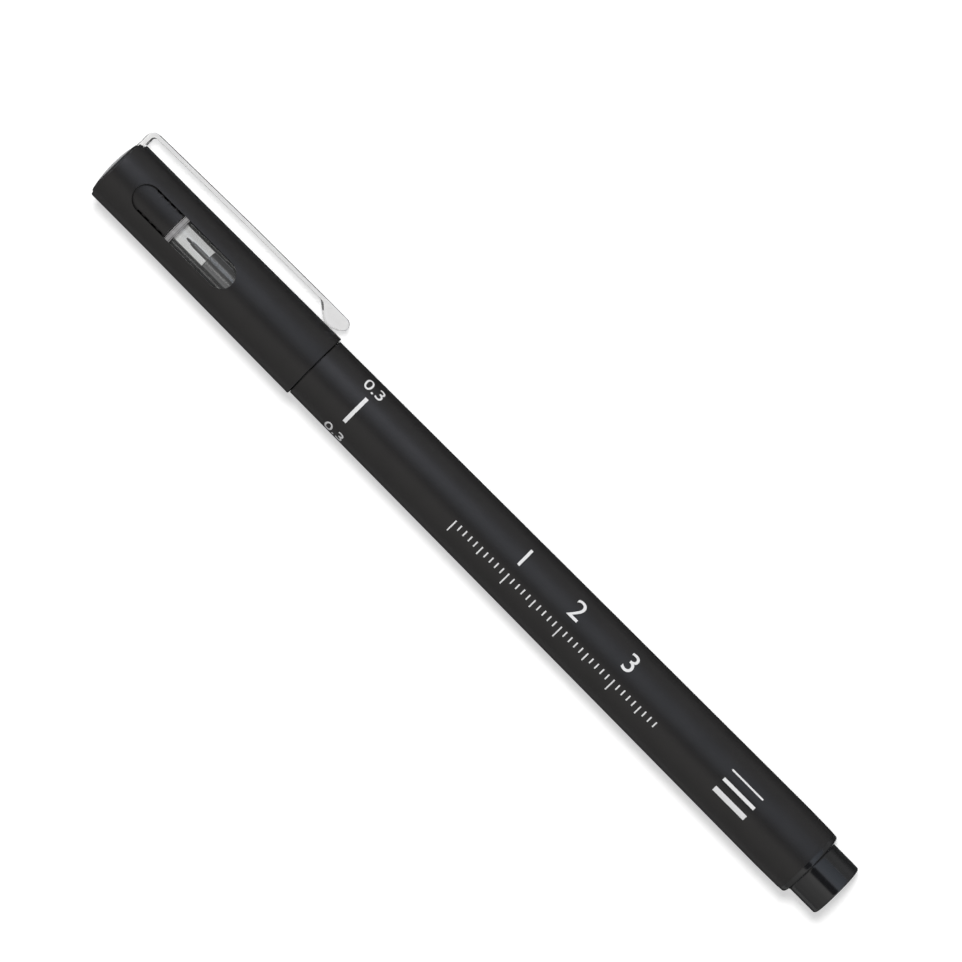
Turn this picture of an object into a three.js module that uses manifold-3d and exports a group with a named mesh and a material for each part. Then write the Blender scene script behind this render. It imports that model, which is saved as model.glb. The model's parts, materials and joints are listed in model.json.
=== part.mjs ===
// Capped fine-line sign pen with a see-through cap, as separate closed solids. Millimetres, +Z up.
//
// Each piece is drawn in the pen's own frame: X runs along the axis from the crown (0) to the tail,
// +Y points at the clip and +Z at the window. The whole pen is then rolled about its axis until the
// clip rests on the ground, and set down with its box's bottom centre at the origin.

import * as THREE from 'three';
import { mergeVertices } from 'three/addons/utils/BufferGeometryUtils.js';
import Module from 'manifold-3d';

// Fineness of the round surfaces
const sidesOfBody = 48;
const sidesOfNib = 24;
const stepsOfArc = 4;
const weldDistance = 1e-5;

// Clearances
const pressedGap = 0.05;
const slidingGap = 0.08;
const seatGap = 0.05;
const mouthGap = 0.1;
const postingGap = 0.1;
const clipPocketGap = 0.15;
const clipRestGap = 0.07;
const noseClearance = 0.5;
const coneClearance = 0.6;
const reservoirGap = 0.3;
const reservoirPlay = 0.13;
const wickGap = 0.1;
const nibPlay = 0.02;

// Cap shell
const capCrownRadius = 4.95;
const capStraightLength = 11.4;
const capWall = 0.95;
const capMouthWall = 0.82;
const capEdgeBreak = 0.14;
const capMouthBevel = 0.25;

// See-through window, cut right through the cap
const windowStart = 4.05;
const windowLength = 18.13;
const windowWidth = 4.1;

// Crown plug: domed head, shank pressed into the cap, and a stem with a pad snapped into each window
const crownRise = 0.85;
const crownLedge = 0.35;
const crownDomeRadius = 18.3;
const crownDomeEdge = 0.35;
const crownHeadDepth = 1.1;
const crownShankLength = 1.9;
const stemRadius = 3;
const stemLength = 8.1;
const padSideGap = 0.1;
const padTopDepth = 0.35;
const grooveDepth = 0.19;
const groovePitch = 1.33;
const grooveCount = 4;
const grooveWidth = 0.75;
const grooveFromEnd = 0.62;

// Clear inner cap
const innerCapEnd = 0.95;
const innerCapWall = 0.6;
const innerCapFlangeStep = 0.5;
const innerCapFlangeThickness = 0.7;
const innerCapCollarLength = 1.35;
const innerCapOverCone = 1.3;
const innerCapFlareLead = 0.6;

// Nib, and the free room ahead of it in the inner cap
const nibRoom = 1.1;
const tipReach = 0.95;
const tipEndRadius = 0.09;
const tipExposedRadius = 0.21;
const sleeveRadius = 0.35;
const sleeveWall = 0.12;
const sleeveTaper = 0.6;
const sleeveReach = 3.15;
const sleeveDepth = 5.2;

// Writing section
const noseRadius = 1.3;
const noseLength = 6.45;
const noseEdge = 0.1;
const coneFrontRadius = 1.9;
const coneFilletLength = 0.9;
const coneRearRadius = 3.3;
const coneLength = 6.0;
const neckRadius = 4.12;
const neckLead = 0.8;
const neckLength = 6.1;
const beadHeight = 0.1;
const beadWidth = 0.8;
const beadFromMouth = 1.9;
const spigotLength = 9.5;
const spigotWall = 0.8;
const wickBoreLength = 10.5;

// Ink system
const wickRadius = 0.85;
const wickInReservoir = 2.7;
const reservoirLength = 73.6;
const filmThickness = 0.12;

// Barrel
const barrelFrontBore = 3.75;
const barrelFrontWall = 1.04;
const barrelMiddleBore = 3.98;
const barrelRearBore = 4.1;
const barrelRearWall = 1.165;
const barrelRearBand = 4.65;
const barrelRearTuck = 0.065;
const barrelEdgeBreak = 0.15;

// Tail plug
const plugSpigotLength = 9.95;
const plugSeatLead = 0.5;
const plugWall = 1.0;
const plugEndWall = 1.5;
const flangeLength = 0.8;
const flangeStep = 0.05;
const flangeBevel = 0.3;
const stubLength = 5.0;
const stubEdge = 0.4;
const stubFillet = 0.25;

// Clip: arm, bump under its tip, and a hooked foot through the crown notch
const clipRootWidth = 3.6;
const clipTipWidth = 3.4;
const clipThickness = 0.6;
const clipRootHeight = 2.24;
const clipMiddleHeight = 2.56;
const clipTipHeight = 2.65;
const clipTipSetback = 0.3;
const clipTipRounding = 1.15;
const clipCornerRadius = 1.3;
const clipTabThickness = 0.8;
const clipTabRise = 0.25;
const clipBumpLength = 5.5;
const clipHookLength = 1.2;

// Places along the axis, from the crown to the tail
const capStart = crownRise;
const headFloor = capStart + crownHeadDepth;
const shankEnd = headFloor + crownShankLength;
const stemEnd = shankEnd + stemLength;
const innerCapFrom = stemEnd + seatGap;
const tipFrom = innerCapFrom + innerCapEnd + nibRoom;
const sleeveFrom = tipFrom + tipReach;
const noseFace = sleeveFrom + sleeveReach;
const sleeveEnd = noseFace + sleeveDepth;
const noseEnd = noseFace + noseLength;
const coneFrom = noseEnd + coneFilletLength;
const coneTo = coneFrom + coneLength;
const neckFrom = coneTo + neckLead;
const innerCapTo = noseEnd + innerCapOverCone;
const collarFrom = innerCapTo - innerCapCollarLength;
const capMouth = neckFrom + neckLength;
const beadAt = capMouth - beadFromMouth;
const barrelFrom = capMouth + mouthGap;
const spigotEnd = barrelFrom + spigotLength;
const reservoirFrom = spigotEnd + reservoirGap;
const reservoirTo = reservoirFrom + reservoirLength;
const plugSpigotEnd = reservoirTo + reservoirGap;
const barrelTo = plugSpigotEnd + plugSpigotLength;
const flangeFrom = barrelTo + seatGap;
const stubFrom = flangeFrom + flangeLength;
const stubTo = stubFrom + stubLength;
const windowFrom = capStart + windowStart;
const windowTo = windowFrom + windowLength;
const tabFront = capStart - clipTabRise;
const tabBack = tabFront + clipTabThickness;
const hookEnd = tabBack + clipHookLength;
const clipTip = capMouth - clipTipSetback;

// Radii that follow from the fits
const capBore = capCrownRadius - capWall;
const capMouthBore = neckRadius + beadHeight + slidingGap;
const capMouthRadius = capMouthBore + capMouthWall;
const headSeatRadius = capCrownRadius - crownLedge;
const crownHeadRadius = headSeatRadius - pressedGap;
const innerCapBore = noseRadius + noseClearance;
const innerCapTubeRadius = innerCapBore + innerCapWall;
const sleeveHole = sleeveRadius + nibPlay;
const sleeveBore = sleeveRadius - sleeveWall;
const tipRadius = sleeveBore - 2 * nibPlay;
const wickBore = wickRadius + wickGap;
const sectionSpigotRadius = barrelFrontBore - pressedGap;
const sectionCavity = sectionSpigotRadius - spigotWall;
const filmRadius = barrelFrontBore - reservoirPlay;
const reservoirRadius = filmRadius - filmThickness - pressedGap;
const barrelFrontRadius = barrelFrontBore + barrelFrontWall;
const barrelRearRadius = barrelRearBore + barrelRearWall;
const barrelEndRadius = barrelRearRadius - barrelRearTuck;
const flangeRadius = barrelEndRadius - flangeStep;
const stubRadius = capMouthBore - postingGap;
const clipHookRadius = Math.sqrt(capBore ** 2 - (clipRootWidth / 2) ** 2) - clipPocketGap;

const wasm = await Module();
wasm.setup();

// Solid helpers

function weld(geometry) {
  geometry.deleteAttribute('normal');
  geometry.deleteAttribute('uv');
  const merged = mergeVertices(geometry, weldDistance);
  const corners = merged.index.array;
  const kept = [];
  for (let i = 0; i < corners.length; i += 3) {
    const [a, b, c] = [corners[i], corners[i + 1], corners[i + 2]];
    if (a !== b && b !== c && c !== a) kept.push(a, b, c);
  }
  merged.setIndex(kept);
  return merged;
}

function toSolid(geometry) {
  return new wasm.Manifold(new wasm.Mesh({
    numProp: 3,
    vertProperties: new Float32Array(geometry.attributes.position.array),
    triVerts: new Uint32Array(geometry.index.array),
  }));
}

function toGeometry(solid) {
  const mesh = solid.getMesh();
  const geometry = new THREE.BufferGeometry();
  geometry.setAttribute('position', new THREE.BufferAttribute(new Float32Array(mesh.vertProperties), 3));
  geometry.setIndex(Array.from(mesh.triVerts));
  return geometry;
}

// Turns a profile of [along, radius] pairs about the pen's axis. The profile runs from the crown
// side over the outer surface to the tail side.
function turned(profile, sides = sidesOfBody) {
  const points = profile.map(([along, radius]) => new THREE.Vector2(radius, along));
  const geometry = new THREE.LatheGeometry(points, sides);
  geometry.rotateZ(-Math.PI / 2);
  return weld(geometry);
}

function turnedRing(profile, sides) {
  return turned([...profile, profile[0]], sides);
}

// Points of an arc in the profile plane. Angles are in degrees from the tail direction outwards.
function arc(along, radius, size, from, to, steps = stepsOfArc) {
  const points = [];
  for (let i = 0; i <= steps; i += 1) {
    const angle = THREE.MathUtils.degToRad(from + ((to - from) * i) / steps);
    points.push([along + size * Math.cos(angle), radius + size * Math.sin(angle)]);
  }
  return points;
}

// A flat outline of [x, y] pairs, pushed out along Z and centred on it.
function slab(outline, width) {
  const shape = new THREE.Shape(outline.map(([x, y]) => new THREE.Vector2(x, y)));
  const geometry = new THREE.ExtrudeGeometry(shape, { depth: width, bevelEnabled: false });
  geometry.translate(0, 0, -width / 2);
  return weld(geometry);
}

function block(xRange, yRange, zRange) {
  const geometry = new THREE.BoxGeometry(
    xRange[1] - xRange[0],
    yRange[1] - yRange[0],
    zRange[1] - zRange[0],
  );
  geometry.translate(
    (xRange[0] + xRange[1]) / 2,
    (yRange[0] + yRange[1]) / 2,
    (zRange[0] + zRange[1]) / 2,
  );
  return weld(geometry);
}

// Outer radius of the cap at a place along the axis
function capRadiusAt(along) {
  const taperFrom = capStart + capStraightLength;
  const share = THREE.MathUtils.clamp((along - taperFrom) / (capMouth - taperFrom), 0, 1);
  return THREE.MathUtils.lerp(capCrownRadius, capMouthRadius, share);
}

// Space that the clip's tab and hook take in the crown, with room for the clip to flex
function clipPocket(depth) {
  const half = clipRootWidth / 2 + clipPocketGap;
  const inner = clipHookRadius - clipThickness - clipPocketGap;
  return toSolid(block([-1, depth], [inner, capCrownRadius + 1], [-half, half]));
}

function capShell() {
  const body = toSolid(turnedRing([
    [capStart, headSeatRadius],
    [capStart, capCrownRadius - capEdgeBreak],
    [capStart + capEdgeBreak, capCrownRadius],
    [capStart + capStraightLength, capCrownRadius],
    [capMouth - capEdgeBreak, capMouthRadius],
    [capMouth, capMouthRadius - capEdgeBreak],
    [capMouth, capMouthBore + capMouthBevel],
    [capMouth - capMouthBevel, capMouthBore],
    [beadAt + beadWidth, capMouthBore],
    [beadAt + beadWidth / 2, capMouthBore + beadHeight],
    [beadAt - beadWidth / 2, capMouthBore + beadHeight],
    [beadAt - beadWidth, capMouthBore],
    [collarFrom - seatGap, capMouthBore],
    [collarFrom - seatGap, capBore],
    [headFloor + seatGap, capBore],
    [headFloor + seatGap, headSeatRadius],
  ]));
  const half = windowWidth / 2;
  const opening = slab([
    ...arc(windowTo - half, 0, half, -90, 90, 12),
    ...arc(windowFrom + half, 0, half, 90, 270, 12),
  ], 4 * capMouthRadius);
  const cut = body.subtract(toSolid(opening)).subtract(clipPocket(tabBack + clipPocketGap));
  return toGeometry(cut);
}

function crownPlug() {
  const crownDomeReach = crownHeadRadius - crownDomeEdge;
  const domeEnd = crownDomeRadius - Math.sqrt(crownDomeRadius ** 2 - crownDomeReach ** 2);
  const dome = [];
  const domeSteps = 6;
  for (let i = 0; i <= domeSteps; i += 1) {
    const radius = (crownDomeReach * i) / domeSteps;
    dome.push([crownDomeRadius - Math.sqrt(crownDomeRadius ** 2 - radius ** 2), radius]);
  }

  // Plan view of the pads: round at the crown's end, with grooves in both sides
  const crest = windowWidth / 2 - padSideGap;
  const side = [];
  for (let i = grooveCount - 1; i >= 0; i -= 1) {
    const middle = stemEnd - grooveFromEnd - groovePitch * i;
    side.push([middle - grooveWidth / 2, crest]);
    side.push([middle - grooveWidth / 4, crest - grooveDepth]);
    side.push([middle + grooveWidth / 4, crest - grooveDepth]);
    side.push([middle + grooveWidth / 2, crest]);
  }
  side.push([stemEnd, crest]);
  const plan = slab([
    ...side.map(([along, across]) => [along, -across]),
    ...side.reverse(),
    ...arc(windowFrom + windowWidth / 2, 0, crest, 90, 270, 12),
  ], 2 * capCrownRadius);
  const padRadius = capCrownRadius - padTopDepth;
  const padRound = turned([[shankEnd, 0], [shankEnd, padRadius], [stemEnd, padRadius], [stemEnd, 0]]);
  const pads = toSolid(padRound).intersect(toSolid(plan));

  const body = toSolid(turned([
    ...dome,
    ...arc(domeEnd + crownDomeEdge, crownDomeReach, crownDomeEdge, 165, 90, 3),
    [headFloor, crownHeadRadius],
    [headFloor, capBore - pressedGap],
    [shankEnd, capBore - pressedGap],
    [shankEnd, stemRadius],
    [stemEnd, stemRadius],
    [stemEnd, 0],
  ]));
  return toGeometry(body.add(pads).subtract(clipPocket(hookEnd + 2 * clipPocketGap)));
}

function innerCap() {
  return turned([
    [innerCapFrom, 0],
    [innerCapFrom, innerCapTubeRadius + innerCapFlangeStep],
    [innerCapFrom + innerCapFlangeThickness, innerCapTubeRadius + innerCapFlangeStep],
    [innerCapFrom + innerCapFlangeThickness, innerCapTubeRadius],
    [collarFrom, innerCapTubeRadius],
    [collarFrom, capMouthBore - pressedGap],
    [innerCapTo, capMouthBore - pressedGap],
    [innerCapTo, coneFrontRadius + coneClearance],
    [noseEnd - innerCapFlareLead, innerCapBore],
    [innerCapFrom + innerCapEnd, innerCapBore],
    [innerCapFrom + innerCapEnd, 0],
  ]);
}

function frontSection() {
  return turnedRing([
    [noseFace, sleeveHole],
    [noseFace, noseRadius - noseEdge],
    [noseFace + noseEdge, noseRadius],
    [noseEnd, noseRadius],
    [noseEnd + coneFilletLength / 2, (2 * noseRadius + coneFrontRadius) / 3],
    [coneFrom, coneFrontRadius],
    [coneTo, coneRearRadius],
    [coneTo + neckLead / 3, neckRadius - neckLead / 3],
    [neckFrom, neckRadius],
    [beadAt - beadWidth / 2, neckRadius],
    [beadAt - beadWidth / 8, neckRadius + beadHeight],
    [beadAt + beadWidth / 8, neckRadius + beadHeight],
    [beadAt + beadWidth / 2, neckRadius],
    [barrelFrom - seatGap, neckRadius],
    [barrelFrom - seatGap, sectionSpigotRadius],
    [spigotEnd, sectionSpigotRadius],
    [spigotEnd, sectionCavity],
    [sleeveEnd + wickBoreLength, sectionCavity],
    [sleeveEnd + wickBoreLength, wickBore],
    [sleeveEnd + seatGap, wickBore],
    [sleeveEnd + seatGap, sleeveHole],
  ]);
}

function nibSleeve() {
  return turnedRing([
    [sleeveFrom, sleeveBore],
    [sleeveFrom, (sleeveBore + sleeveRadius) / 2],
    [sleeveFrom + sleeveTaper, sleeveRadius],
    [sleeveEnd, sleeveRadius],
    [sleeveEnd, sleeveBore],
  ], sidesOfNib);
}

function nibTip() {
  return turned([
    [tipFrom, 0],
    [tipFrom, tipEndRadius],
    [tipFrom + tipReach / 2, tipExposedRadius],
    [sleeveFrom, tipRadius],
    [sleeveEnd, tipRadius],
    [sleeveEnd, 0],
  ], sidesOfNib);
}

function feedWick() {
  const from = sleeveEnd + 2 * seatGap;
  const to = reservoirFrom + wickInReservoir;
  return turned([[from, 0], [from, wickRadius], [to, wickRadius], [to, 0]], sidesOfNib);
}

function inkReservoir() {
  const holeEnd = reservoirFrom + wickInReservoir + reservoirGap;
  return turned([
    [holeEnd, 0],
    [holeEnd, wickBore],
    [reservoirFrom, wickBore],
    [reservoirFrom, reservoirRadius],
    [reservoirTo, reservoirRadius],
    [reservoirTo, 0],
  ], sidesOfNib);
}

function reservoirFilm() {
  return turnedRing([
    [reservoirFrom, filmRadius - filmThickness],
    [reservoirFrom, filmRadius],
    [reservoirTo, filmRadius],
    [reservoirTo, filmRadius - filmThickness],
  ], sidesOfNib);
}

function barrel() {
  const seatEnd = plugSpigotEnd - plugSeatLead;
  return turnedRing([
    [barrelFrom, barrelFrontBore],
    [barrelFrom, barrelFrontRadius - barrelEdgeBreak],
    [barrelFrom + barrelEdgeBreak, barrelFrontRadius],
    [barrelTo - barrelRearBand, barrelRearRadius],
    [barrelTo - barrelEdgeBreak, barrelEndRadius],
    [barrelTo, barrelEndRadius - barrelEdgeBreak],
    [barrelTo, barrelRearBore],
    [seatEnd, barrelRearBore],
    [seatEnd, barrelMiddleBore],
    [spigotEnd, barrelFrontBore],
  ]);
}

function endPlug() {
  const spigotRadius = barrelRearBore - pressedGap;
  const cavity = spigotRadius - plugWall;
  return turned([
    [stubTo - plugEndWall, 0],
    [stubTo - plugEndWall, cavity],
    [plugSpigotEnd, cavity],
    [plugSpigotEnd, spigotRadius],
    [flangeFrom, spigotRadius],
    [flangeFrom, flangeRadius],
    [stubFrom - flangeBevel, flangeRadius],
    [stubFrom, stubRadius + stubFillet],
    [stubFrom + stubFillet, stubRadius],
    ...arc(stubTo - stubEdge, stubRadius - stubEdge, stubEdge, 90, 0),
    [stubTo, 0],
  ]);
}

function clip() {
  const rootY = capCrownRadius + clipRootHeight;
  const middleY = capCrownRadius + clipMiddleHeight;
  const tipY = capCrownRadius + clipTipHeight;
  const bumpFrom = clipTip - clipBumpLength;
  const bumpBottomX = bumpFrom + clipBumpLength / 2;
  const bumpBottomY = capRadiusAt(bumpBottomX) + clipRestGap;
  const cornerX = tabFront + clipCornerRadius;
  const middleX = (capStart + clipTip) / 2;
  const hookInner = clipHookRadius - clipThickness;
  const innerX = tabBack + clipThickness;
  const tipRound = arc(clipTip - clipTipRounding, tipY - clipTipRounding, clipTipRounding, 90, 0, 6);

  // Side view of the arm, tab and hook
  const side = [
    [hookEnd, hookInner],
    [hookEnd, clipHookRadius],
    [tabBack, clipHookRadius],
    [tabBack, rootY - 2 * clipThickness],
    [innerX, rootY - clipThickness],
    [middleX, middleY - clipThickness],
    [bumpFrom, tipY - clipThickness],
    [clipTip - clipTipRounding / 2, tipY - clipThickness],
    ...tipRound.filter((point) => point[1] > tipY - clipThickness).reverse(),
    [bumpFrom, tipY],
    [middleX, middleY],
    ...arc(cornerX, rootY - clipCornerRadius, clipCornerRadius, 90, 180),
    [tabFront, hookInner],
  ];

  // Side view of the bump: a bow through its two ends and its lowest point
  const half = clipBumpLength / 2;
  const depth = tipY - clipThickness - bumpBottomY;
  const bowRadius = (half * half + depth * depth) / (2 * depth);
  const bowAngle = THREE.MathUtils.radToDeg(Math.asin(half / bowRadius));
  const bow = arc(bumpBottomX, bumpBottomY + bowRadius, bowRadius, -90 - bowAngle, -90 + bowAngle, 12);
  const bump = [
    ...bow.slice(0, -1),
    ...tipRound.slice(2).reverse(),
    [bumpFrom, tipY - clipThickness / 2],
  ];

  // Plan view with a rounded tip
  const tipHalf = clipTipWidth / 2;
  const rootHalf = clipRootWidth / 2;
  const plan = slab([
    [tabFront - 1, -rootHalf],
    [clipTip - tipHalf, -tipHalf],
    ...arc(clipTip - tipHalf, 0, tipHalf, -75, 75, 8),
    [clipTip - tipHalf, tipHalf],
    [tabFront - 1, rootHalf],
  ], 4 * tipY);
  plan.rotateX(Math.PI / 2);

  const roundUnder = new THREE.CylinderGeometry(1, 1, 2 * clipBumpLength, sidesOfNib);
  const underRadius = tipY - bumpBottomY;
  roundUnder.scale(underRadius, 1, underRadius);
  roundUnder.rotateZ(Math.PI / 2);
  roundUnder.translate(bumpBottomX, tipY, 0);

  const bumpSolid = toSolid(slab(bump, 2 * clipRootWidth)).intersect(toSolid(weld(roundUnder)));
  const whole = toSolid(slab(side, 2 * clipRootWidth)).add(bumpSolid);
  return toGeometry(whole.intersect(toSolid(plan)));
}

// Materials

function plastic(color, roughness) {
  return new THREE.MeshStandardMaterial({ color, roughness, metalness: 0 });
}

function steel(color, roughness) {
  return new THREE.MeshStandardMaterial({ color, roughness, metalness: 1 });
}

function clearPlastic(opacity) {
  const material = plastic(0xe4e6e4, 0.06);
  material.transparent = true;
  material.opacity = opacity;
  return material;
}

const pieces = [
  ['cap_shell', capShell, plastic(0x2b2a2c, 0.55)],
  ['crown_plug', crownPlug, plastic(0x232226, 0.3)],
  ['clip', clip, clearPlastic(0.35)],
  ['inner_cap', innerCap, clearPlastic(0.35)],
  ['front_section', frontSection, plastic(0x1c1c1f, 0.2)],
  ['nib_sleeve', nibSleeve, steel(0xb4b2ae, 0.3)],
  ['nib_tip', nibTip, plastic(0x262424, 0.5)],
  ['feed_wick', feedWick, plastic(0x1a1a1d, 0.9)],
  ['ink_reservoir', inkReservoir, plastic(0x17171a, 0.95)],
  ['reservoir_film', reservoirFilm, clearPlastic(0.4)],
  ['barrel', barrel, plastic(0x2b2a2c, 0.55)],
  ['end_plug', endPlug, plastic(0x1c1c1f, 0.2)],
];

// The pen in its own frame
const pen = new THREE.Group();
for (const [name, make, material] of pieces) {
  const mesh = new THREE.Mesh(make(), material);
  mesh.name = name;
  pen.add(mesh);
}

// Rolled about its axis until the clip's edge is as low as the barrel's rear
const clipOuter = capCrownRadius + clipTipHeight;
const clipHalf = clipTipWidth / 2;
const roll = Math.asin(barrelRearRadius / Math.hypot(clipOuter, clipHalf)) - Math.atan2(clipHalf, clipOuter);
pen.rotation.x = -roll;

// Set down on the ground, with the bottom centre of its box at the origin
const lying = new THREE.Group();
lying.add(pen);
const box = new THREE.Box3().setFromObject(lying, true);
const centre = box.getCenter(new THREE.Vector3());
lying.position.set(-centre.x, -centre.y, -box.min.z);
lying.updateMatrixWorld(true);

export default lying;
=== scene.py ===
"""Sign pen: fine visible pieces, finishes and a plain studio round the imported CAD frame."""
import json
import math

import bmesh
import bpy
from bpy.props import FloatProperty, FloatVectorProperty, IntProperty, PointerProperty
from mathutils import Matrix, Vector


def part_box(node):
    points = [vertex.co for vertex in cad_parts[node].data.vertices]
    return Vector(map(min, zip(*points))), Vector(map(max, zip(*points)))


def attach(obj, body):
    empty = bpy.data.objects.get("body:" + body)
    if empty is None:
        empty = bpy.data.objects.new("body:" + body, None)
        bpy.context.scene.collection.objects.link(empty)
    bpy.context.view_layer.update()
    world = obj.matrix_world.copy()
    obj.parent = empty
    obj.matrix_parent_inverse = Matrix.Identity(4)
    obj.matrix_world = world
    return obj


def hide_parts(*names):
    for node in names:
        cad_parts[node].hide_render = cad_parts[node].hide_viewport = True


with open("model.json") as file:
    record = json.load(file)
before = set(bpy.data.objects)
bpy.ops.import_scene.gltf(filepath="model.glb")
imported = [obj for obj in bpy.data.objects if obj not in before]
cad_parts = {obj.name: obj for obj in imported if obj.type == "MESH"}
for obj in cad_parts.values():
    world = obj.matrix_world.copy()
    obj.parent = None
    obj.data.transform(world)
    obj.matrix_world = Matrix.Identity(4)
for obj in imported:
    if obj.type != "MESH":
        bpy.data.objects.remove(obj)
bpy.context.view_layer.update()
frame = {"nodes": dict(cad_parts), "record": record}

bl_info = {
    "name": "Sign pen",
    "version": (1, 0, 0),
    "blender": (4, 5, 0),
    "location": "View3D > Sidebar > Sign pen",
    "description": "Builds the visible pieces, finishes and studio of a capped sign pen",
    "category": "Add Mesh",
}

MM = 0.001

# The pen's own frame, in millimetres: x along the axis from the crown, y towards the clip, z
# towards the window. TO_ROW turns it into the CAD's frame, in metres
JOINTS = {joint["name"]: joint for joint in frame["record"]["behaviour"]["joints"]}
ALONG = Vector((1, 0, 0))
TO_WINDOW = Vector(JOINTS["clip_flex"]["axis"]).normalized()
TO_CLIP = TO_WINDOW.cross(ALONG)
PLUG_LOW, PLUG_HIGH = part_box("end_plug")
CROWN = Vector((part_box("crown_plug")[0].x, *((PLUG_LOW + PLUG_HIGH) / 2).yz))
TO_ROW = Matrix.Translation(CROWN) @ Matrix((ALONG, TO_CLIP, TO_WINDOW)).transposed().to_4x4()
TO_ROW = TO_ROW @ Matrix.Scale(MM, 4)

# Places along the axis, in millimetres from the crown, as the CAD has them
CAP_START, HEAD_FLOOR, SHANK_END, STEM_END = 0.85, 1.95, 3.85, 11.95
WINDOW_FROM, WINDOW_TO, CAP_STRAIGHT_TO = 4.90, 23.03, 12.25
RIB_FIRST, RIB_PITCH, RIB_COUNT, RIB_HALF, PAD_TAIL = 8.005, 1.33, 3, 0.29, 0.245
INNER_CAP_FROM, FLANGE_TO, BORE_FROM, INNER_CAP_TO = 12.0, 12.7, 12.8, 25.9
TIP_FROM, SLEEVE_FROM, NOSE_FACE, SLEEVE_END, CORE_TO = 14.05, 15.0, 18.15, 23.35, 33.85
NOSE_END, COLLAR_FROM, CONE_FROM, CONE_TO, NECK_FROM = 24.6, 24.55, 25.38, 31.5, 32.3
BEAD_AT, CAP_MOUTH, BARREL_FROM, SPIGOT_END = 36.5, 38.4, 38.5, 48.0
BARREL_BAND_FROM, PLUG_SPIGOT_END, BARREL_TO = 127.5, 122.2, 132.15
STUB_FROM, STUB_TO = 133.0, 138.0

# Radii and half widths in millimetres
CAP_CROWN, CAP_MOUTH_OUTER, CAP_BORE, CAP_MOUTH_BORE, WINDOW_HALF = 4.95, 5.12, 4.0, 4.3, 2.05
HEAD_SEAT, CROWN_HEAD, STEM = 4.6, 4.55, 3.0
PAD_TOP, PAD_FOOT, PAD_CREST, PAD_GROOVE, PAD_REACH = 4.6, 2.0, 2.0, 1.78, 2.045
FLANGE, TUBE_OUTER, TUBE_BORE, TUBE_COLLAR, TUBE_MOUTH = 2.9, 2.4, 1.84, 4.25, 2.5
WICK_BORE, NOSE, CONE_FOOT, CONE_HEAD, SHOULDER = 0.37, 1.34, 1.86, 3.3, 3.75
NECK, BEAD, SPIGOT, SPIGOT_BORE, CORE_BORE = 4.12, 4.22, 3.7, 2.9, 0.95
SLEEVE_BORE, SLEEVE_FRONT, SLEEVE = 0.23, 0.29, 0.35
TIP_POINT, TIP_ROOT, TIP_STEM = 0.09, 0.21, 0.19
BARREL_FRONT, BARREL_REAR, BARREL_END, BARREL_BORE, BARREL_TAIL_BORE = 4.79, 5.265, 5.2, 3.75, 4.1
PLUG_HOLLOW, PLUG_SPIGOT, PLUG_FLANGE, STUB = 3.05, 4.05, 5.165, 4.23

# The clip in its side view: places along the pen and heights over its axis, in millimetres
CLIP_ROOT_Y, CLIP_MIDDLE_Y, CLIP_TIP_Y = 7.19, 7.51, 7.60
CLIP_ROOT_X, CLIP_MIDDLE_X, CLIP_TAB_FRONT, CLIP_TIP = 1.9, 19.475, 0.6, 38.1
CLIP_THICK, TAB_THICK, HOOK_Y, HOOK_END, CLIP_CORNER, HOOK_CORNER = 0.6, 0.8, 2.822, 2.6, 1.3, 0.9
BUMP_FROM, TIP_ROUNDING, BUMP_CROWN = 32.6, 1.15, 0.45
BUMP = (
    (32.4, 7.12), (33.4, 6.36), (34.5, 5.47), (35.0, 5.21), (35.6, 5.13),
    (36.3, 5.19), (37.0, 5.48), (37.6, 5.93), (38.1, 6.50),
)
ROOT_HALF, TIP_HALF, CLIP_EDGE = 1.8, 1.7, 0.07


def length_setting(name, description, default):
    """Setting that holds a length in metres."""
    return FloatProperty(
        name=name, description=description, default=default, subtype="DISTANCE", unit="LENGTH"
    )


def colour_setting(name, description, default):
    """Setting that holds a colour."""
    return FloatVectorProperty(
        name=name, description=description, default=default, subtype="COLOR", size=3, min=0, max=1
    )


def power_setting(name, description, default):
    """Setting that holds a lamp's power."""
    return FloatProperty(name=name, description=description, default=default, min=0, unit="POWER")


class SignPenSizes(bpy.types.PropertyGroup):
    """Fine sizes that the visible pieces add to the CAD solids."""

    sides: IntProperty(
        name="Sides", description="Facets round each turned piece", default=160, min=48, max=256
    )
    window_rounding: length_setting(
        "Window rounding", "Radius of the window's moulded edge", 0.02 * MM
    )
    edge_rounding: length_setting(
        "Edge rounding", "Radius of the cap's and barrel's end edges", 0.14 * MM
    )
    ink_height: length_setting(
        "Ink height", "Thickness of the printed ink over the barrel", 0.02 * MM
    )
    numeral_height: length_setting(
        "Numeral height", "Height of the line width printed beside the bar", 1.97 * MM
    )
    rule_pitch: length_setting("Rule pitch", "Spacing of the printed rule's marks", 1.0 * MM)


class SignPenColours(bpy.types.PropertyGroup):
    """Base colours of the pen's finishes."""

    matte: colour_setting("Matte black", "Cap, barrel, pads and ribs", (0.0098, 0.0091, 0.0090))
    gloss: colour_setting("Gloss black", "Writing section and tail plug", (0.0075, 0.0077, 0.0085))
    crown: colour_setting("Crown black", "Domed end piece of the cap", (0.0105, 0.0100, 0.0112))
    clear: colour_setting("Clear plastic", "Pocket clip", (0.94, 0.935, 0.93))
    tube: colour_setting("Inner tube", "Clear tube over the writing point", (0.98, 0.985, 0.98))
    # The flange's grey is painted shade: clear plastic darkened where the end of the inner tube
    # lies in shade
    flange: colour_setting("Flange", "Thick grey end of the inner tube", (0.50, 0.49, 0.495))
    steel: colour_setting("Steel", "Tube round the writing point", (0.30, 0.28, 0.26))
    ink: colour_setting("Print", "Printed numerals, bar and rule", (0.66, 0.66, 0.665))
    floor: colour_setting("Floor", "Table under the pen", (0.80, 0.80, 0.80))


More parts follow.
